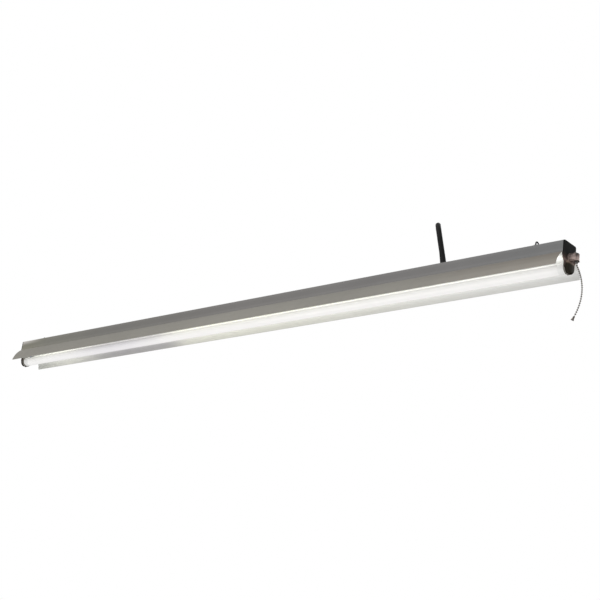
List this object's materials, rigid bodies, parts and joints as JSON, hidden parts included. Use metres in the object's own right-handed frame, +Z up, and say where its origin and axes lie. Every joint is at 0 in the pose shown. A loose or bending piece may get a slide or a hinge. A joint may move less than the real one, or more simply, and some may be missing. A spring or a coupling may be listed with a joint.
{
  "type": "hanging shop light",
  "caption": "Slim hanging shop light: folded steel channel with curved white reflector wings, one thin tube lamp in twist lampholders, pull chain switch, hinged hanging eyes and a supply cord.",
  "frame": {"origin": "middle of the housing's top face, on the line between the two mounting holes", "axes": "+X along the light to the end with the pull chain, +Y across it to the back, +Z up"},
  "size_m": [1.1836, 0.1033, 0.1939],
  "materials": {
    "grey_paint": "satin grey enamel",
    "white_enamel": "gloss white enamel",
    "black_paint": "satin black enamel",
    "zinc_steel": "zinc plated",
    "ballast_paint": "white paint",
    "board_green": "laminate",
    "white_plastic": "moulded",
    "brown_plastic": "moulded, dark brown",
    "black_plastic": "moulded",
    "contact_brass": "plain",
    "lamp_glass": "white phosphor inside clear glass",
    "lamp_aluminium": "satin",
    "stem_glass": "clear",
    "nickel": "nickel plated",
    "chain_metal": "nickel plated",
    "black_rubber": "satin vinyl jacket",
    "plug_brass": "polished",
    "wire_blue": "insulation",
    "wire_red": "insulation",
    "wire_white": "insulation",
    "wire_black": "insulation",
    "wire_green": "insulation",
    "connector_orange": "moulded",
    "screw_green": "green chromate"
  },
  "bodies": {
    "light": {"housing": "grey_paint", "reflector_flat": "white_enamel", "reflector_wing_front": "white_enamel", "reflector_wing_back": "white_enamel", "end_plate_right": "black_paint", "end_plate_left": "black_paint", "bridge_brackets": "zinc_steel", "reflector_screws": "zinc_steel", "bracket_rivets": "zinc_steel", "end_plate_screws": "zinc_steel", "ballast_base": "zinc_steel", "ballast_cover": "ballast_paint", "ballast_board": "board_green", "ballast_terminals": "white_plastic", "ballast_screws": "zinc_steel", "lampholder_right": "brown_plastic", "lampholder_left": "brown_plastic", "lampholder_contacts": "contact_brass", "switch_barrel": "nickel", "switch_ring_nut": "nickel", "switch_lock_nut": "zinc_steel", "switch_cap": "nickel", "switch_core": "black_plastic", "eye_saddles": "black_paint", "eye_pins": "zinc_steel", "eye_rivets": "zinc_steel", "strain_relief": "black_rubber", "power_cord": "black_rubber", "cord_hank": "black_rubber", "cord_tail": "black_rubber", "hank_tie": "black_plastic", "plug_body": "black_rubber", "plug_blades": "plug_brass", "plug_ground_pin": "plug_brass", "lamp_leads_left": "wire_blue", "lamp_leads_right": "wire_red", "mains_wires": "wire_white", "switch_leads": "wire_black", "wire_connector": "connector_orange", "ground_screw": "screw_green", "ground_wire": "wire_green"},
    "lamp": {"lamp_tube": "lamp_glass", "lamp_caps": "lamp_aluminium", "lamp_pins": "contact_brass", "lamp_stems": "stem_glass"},
    "right_rotor": {"rotor_right": "white_plastic"},
    "left_rotor": {"rotor_left": "white_plastic"},
    "switch_pulley": {"switch_drum": "white_plastic"},
    "chain_puller": {"chain_top": "chain_metal"},
    "chain_middle": {"chain_bead": "chain_metal"},
    "chain_end": {"pull_chain": "chain_metal", "chain_bell": "chain_metal"},
    "right_eye": {"eye_right": "black_paint"},
    "left_eye": {"eye_left": "black_paint"}
  },
  "joints": [
    {"name": "lamp_twist", "type": "hinge", "parent": "light", "child": "lamp", "pos_m": [0, 0, -0.036], "axis": [1, 0, 0], "range_deg": [0, 90]},
    {"name": "right_rotor_turn", "type": "hinge", "parent": "light", "child": "right_rotor", "pos_m": [0.5783, 0, -0.036], "axis": [1, 0, 0], "range_deg": [0, 90]},
    {"name": "left_rotor_turn", "type": "hinge", "parent": "light", "child": "left_rotor", "pos_m": [-0.5783, 0, -0.036], "axis": [1, 0, 0], "range_deg": [0, 90]},
    {"name": "chain_pull", "type": "slide", "parent": "light", "child": "chain_puller", "axis": [0, 0, -1], "range_m": [0, 0.008], "stiffness_N_per_m": 600},
    {"name": "pulley_turn", "type": "hinge", "parent": "light", "child": "switch_pulley", "pos_m": [0.5857, 0, -0.0218], "axis": [0, 1, 0], "range_deg": [0, 140]},
    {"name": "chain_swing_side", "type": "hinge", "parent": "chain_puller", "child": "chain_middle", "pos_m": [0.5903, 0, -0.0298], "axis": [1, 0, 0], "range_deg": [-60, 60]},
    {"name": "chain_swing_out", "type": "hinge", "parent": "chain_middle", "child": "chain_end", "pos_m": [0.5903, 0, -0.033], "axis": [0, -1, 0], "range_deg": [-20, 60]},
    {"name": "right_eye_fold", "type": "hinge", "parent": "light", "child": "right_eye", "pos_m": [0.527, 0, 0.0023], "axis": [0, 1, 0], "range_deg": [-90, 90]},
    {"name": "left_eye_fold", "type": "hinge", "parent": "light", "child": "left_eye", "pos_m": [-0.527, 0, 0.0023], "axis": [0, -1, 0], "range_deg": [0, 180]}
  ],
  "couplings": [
    {"joint": "right_rotor_turn", "follows": "lamp_twist", "ratio": 1},
    {"joint": "left_rotor_turn", "follows": "lamp_twist", "ratio": 1},
    {"joint": "pulley_turn", "follows": "chain_pull", "rad_per_m": 294.1}
  ]
}
